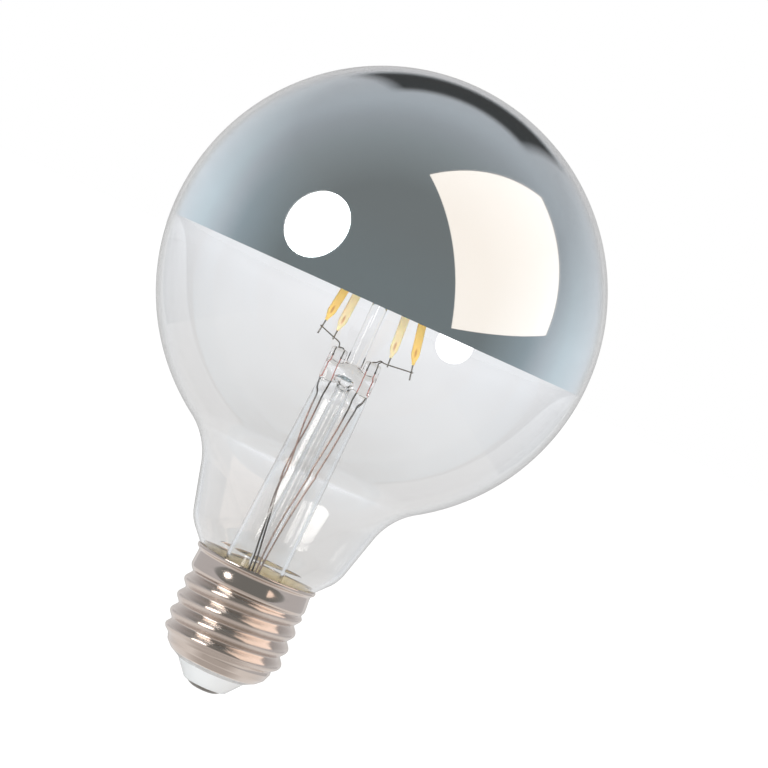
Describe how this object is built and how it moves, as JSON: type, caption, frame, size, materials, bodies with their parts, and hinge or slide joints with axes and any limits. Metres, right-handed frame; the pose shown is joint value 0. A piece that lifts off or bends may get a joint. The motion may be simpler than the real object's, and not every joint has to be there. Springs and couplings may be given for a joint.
{
  "type": "globe lamp",
  "caption": "Clear glass globe lamp with a mirrored crown, filament strips on a glass stem, and a screw cap with a centre contact.",
  "frame": {"origin": "flat tip of the centre contact, on the lamp's axis", "axes": "+Z along the lamp's axis to the crown, +X across the filament mount, -Y to the front pair of filaments"},
  "size_m": [0.095, 0.095, 0.1395],
  "materials": {
    "clear_glass": "clear",
    "mirror_film": "mirror",
    "nickel_plated_brass": "nickel plated",
    "insulator_white": "gloss",
    "contact_metal": "dull plated",
    "cement": "matt",
    "copper_wire": "copper clad",
    "lead_wire": "copper",
    "nickel_wire": "nickel",
    "phosphor": "matt",
    "circuit_board": "matt",
    "package_black": "matt",
    "capacitor_sleeve": "gloss",
    "resistor_coat": "gloss",
    "hookup_wire": "gloss"
  },
  "bodies": {
    "root": {"glass_bulb": "clear_glass", "glass_stem": "clear_glass", "exhaust_tube": "clear_glass", "support_rod": "clear_glass", "mirror_film": "mirror_film", "cap_shell": "nickel_plated_brass", "cap_insulator": "insulator_white", "centre_contact": "contact_metal", "basing_cement": "cement", "seal_wire_left_outer": "copper_wire", "seal_wire_left_inner": "copper_wire", "seal_wire_right_inner": "copper_wire", "seal_wire_right_outer": "copper_wire", "outer_lead_left_outer": "lead_wire", "outer_lead_left_inner": "lead_wire", "outer_lead_right_inner": "lead_wire", "outer_lead_right_outer": "lead_wire", "lead_bar_left": "nickel_wire", "lead_bar_right": "nickel_wire", "lead_post_left": "nickel_wire", "lead_post_right": "nickel_wire", "bridge_wire_front": "nickel_wire", "bridge_wire_back": "nickel_wire", "filament_tabs_left_front": "nickel_wire", "filament_tabs_left_back": "nickel_wire", "filament_tabs_right_back": "nickel_wire", "filament_tabs_right_front": "nickel_wire", "filament_left_front": "phosphor", "filament_left_back": "phosphor", "filament_right_back": "phosphor", "filament_right_front": "phosphor", "driver_board": "circuit_board", "bridge_rectifier": "package_black", "driver_chip": "package_black", "smoothing_capacitor": "capacitor_sleeve", "fuse_resistor": "resistor_coat", "board_lead": "hookup_wire", "contact_lead": "hookup_wire", "shell_lead": "hookup_wire"}
  },
  "joints": []
}
